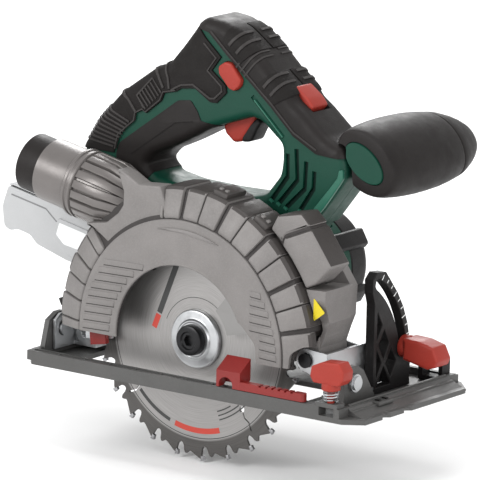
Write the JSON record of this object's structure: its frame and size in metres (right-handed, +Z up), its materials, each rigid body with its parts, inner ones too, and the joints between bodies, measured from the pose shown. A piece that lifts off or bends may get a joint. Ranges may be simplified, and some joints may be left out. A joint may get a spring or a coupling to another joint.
{
  "type": "cordless circular saw",
  "caption": "Cordless circular saw with a toothed blade in a two-stage guard, tilting shoe, rear and front handles, clip-on battery and dust outlet.",
  "frame": {"origin": "on the sole's underside, on its far half, straight across from the spindle and 40 mm from the blade's plane", "axes": "+X forward along the cut, +Y across from the blade towards the motor, +Z up out of the work"},
  "size_m": [0.312, 0.1689, 0.2611],
  "materials": {
    "guard_grey": "cast light alloy, satin grey paint",
    "shoe_grey": "cast light alloy, satin dark grey",
    "green_plastic": "moulded, fine texture",
    "black_plastic": "moulded, fine texture",
    "red_plastic": "moulded, half gloss",
    "pack_plastic": "moulded, light grey",
    "rubber": "overmoulded soft grip",
    "steel": "machined or zinc plated",
    "black_steel": "black oxide",
    "blade_steel": "ground and polished",
    "copper": "wound core and commutator",
    "board": "coated circuit board",
    "cell": "sleeved cell"
  },
  "bodies": {
    "base": {"base_plate": "shoe_grey", "bevel_quadrant": "black_steel", "far_guide_bracket": "black_plastic", "bevel_pivot_front": "steel", "bevel_pivot_rear": "steel", "guide_clamp_spring": "steel"},
    "bevel_carriage": {"front_bracket": "steel", "rear_bracket": "steel", "depth_arm": "steel", "depth_pivot_pin": "black_steel"},
    "bevel_knob": {"bevel_lock_knob": "red_plastic"},
    "guide_knob": {"guide_clamp_knob": "red_plastic"},
    "catch": {"rail_catch": "red_plastic"},
    "saw_body": {"upper_guard": "guard_grey", "gear_housing": "guard_grey", "front_housing": "guard_grey", "handle_shell_near": "green_plastic", "handle_shell_far": "green_plastic", "handle_top_cover": "rubber", "rear_grip_rubber": "rubber", "motor_housing": "green_plastic", "motor_end_cover": "black_plastic", "motor_can": "steel", "spindle_bearing_near": "steel", "spindle_bearing_far": "steel", "motor_bearing_near": "steel", "motor_bearing_far": "steel", "switch_module": "black_plastic", "control_board": "board", "aux_handle_core": "green_plastic", "aux_handle_grip": "rubber", "aux_handle_cap": "rubber", "battery_socket": "black_plastic", "guard_return_spring": "steel"},
    "blade_set": {"blade": "blade_steel", "outer_flange": "steel", "inner_flange": "steel", "blade_bolt": "black_steel", "output_spindle": "steel", "output_gear": "steel"},
    "layshaft": {"layshaft_gear": "steel"},
    "armature": {"armature_shaft": "steel", "armature_core": "copper", "cooling_fan": "black_plastic"},
    "swing_guard": {"lower_guard": "blade_steel", "guard_lever": "red_plastic"},
    "dust_outlet": {"dust_adapter": "rubber"},
    "trigger_body": {"trigger": "red_plastic"},
    "lock_off": {"lock_off_button": "red_plastic"},
    "light_switch": {"light_button": "red_plastic"},
    "spindle_lock": {"spindle_lock_button": "black_plastic"},
    "depth_lever": {"depth_lock_lever": "red_plastic"},
    "battery": {"battery_case": "pack_plastic", "battery_lid": "pack_plastic", "battery_cell_1": "cell", "battery_cell_2": "cell", "battery_cell_3": "cell", "battery_cell_4": "cell", "battery_cell_5": "cell"},
    "battery_release": {"battery_release_button": "red_plastic"}
  },
  "joints": [
    {"name": "bevel_tilt", "type": "hinge", "parent": "base", "child": "bevel_carriage", "pos_m": [0, -0.041, 0.018], "axis": [1, 0, 0], "range_deg": [0, 45]},
    {"name": "bevel_knob_turn", "type": "hinge", "parent": "bevel_carriage", "child": "bevel_knob", "pos_m": [0.12, 0.02099, 0.02804], "axis": [1, 0, 0], "range_deg": [0, 60]},
    {"name": "guide_knob_turn", "type": "hinge", "parent": "base", "child": "guide_knob", "pos_m": [0.1155, -0.0658, 0.02], "axis": [0, 0, 1], "range_deg": [0, 90]},
    {"name": "catch_slide", "type": "slide", "parent": "base", "child": "catch", "axis": [-1, 0, 0], "range_m": [0, 0.02]},
    {"name": "depth_swing", "type": "hinge", "parent": "bevel_carriage", "child": "saw_body", "pos_m": [0.084, -0.03, 0.0278], "axis": [0, 1, 0], "range_deg": [0, 27]},
    {"name": "blade_spin", "type": "hinge", "parent": "saw_body", "child": "blade_set", "pos_m": [0, -0.04, 0.027], "axis": [0, 1, 0], "continuous": true},
    {"name": "layshaft_spin", "type": "hinge", "parent": "saw_body", "child": "layshaft", "pos_m": [0.01702, -0.015, 0.04172], "axis": [0, 1, 0], "continuous": true},
    {"name": "armature_spin", "type": "hinge", "parent": "saw_body", "child": "armature", "pos_m": [0.022, 0.02, 0.06366], "axis": [0, 1, 0], "continuous": true},
    {"name": "guard_swing", "type": "hinge", "parent": "saw_body", "child": "swing_guard", "pos_m": [0, -0.04, 0.027], "axis": [0, -1, 0], "range_deg": [0, 165]},
    {"name": "dust_outlet_pull", "type": "slide", "parent": "saw_body", "child": "dust_outlet", "axis": [-0.9799, 0, 0.1994], "range_m": [0, 0.016]},
    {"name": "trigger_pull", "type": "slide", "parent": "saw_body", "child": "trigger_body", "axis": [-0.53, 0, 0.848], "range_m": [0, 0.004], "stiffness_N_per_m": 400, "springref_m": -0.004},
    {"name": "lock_off_push", "type": "slide", "parent": "saw_body", "child": "lock_off", "axis": [0, 1, 0], "range_m": [-0.003, 0.003], "stiffness_N_per_m": 300},
    {"name": "light_press", "type": "slide", "parent": "saw_body", "child": "light_switch", "axis": [-0.6, 0, -0.8], "range_m": [0, 0.001], "stiffness_N_per_m": 500, "springref_m": -0.001},
    {"name": "spindle_lock_press", "type": "slide", "parent": "saw_body", "child": "spindle_lock", "axis": [1, 0, 0], "range_m": [0, 0.003], "stiffness_N_per_m": 300, "springref_m": -0.002},
    {"name": "depth_lever_turn", "type": "hinge", "parent": "saw_body", "child": "depth_lever", "pos_m": [-0.09197, -0.01, 0.02473], "axis": [0, 1, 0], "range_deg": [0, 25]},
    {"name": "battery_slide", "type": "slide", "parent": "saw_body", "child": "battery", "axis": [-0.9799, 0, 0.1994], "range_m": [0, 0.095]},
    {"name": "battery_release_press", "type": "slide", "parent": "battery", "child": "battery_release", "axis": [1, 0, 0], "range_m": [0, 0.002], "stiffness_N_per_m": 300, "springref_m": -0.002}
  ],
  "couplings": [
    {"joint": "layshaft_spin", "follows": "blade_spin", "ratio": -2.3333},
    {"joint": "armature_spin", "follows": "blade_spin", "ratio": 5.4444}
  ]
}
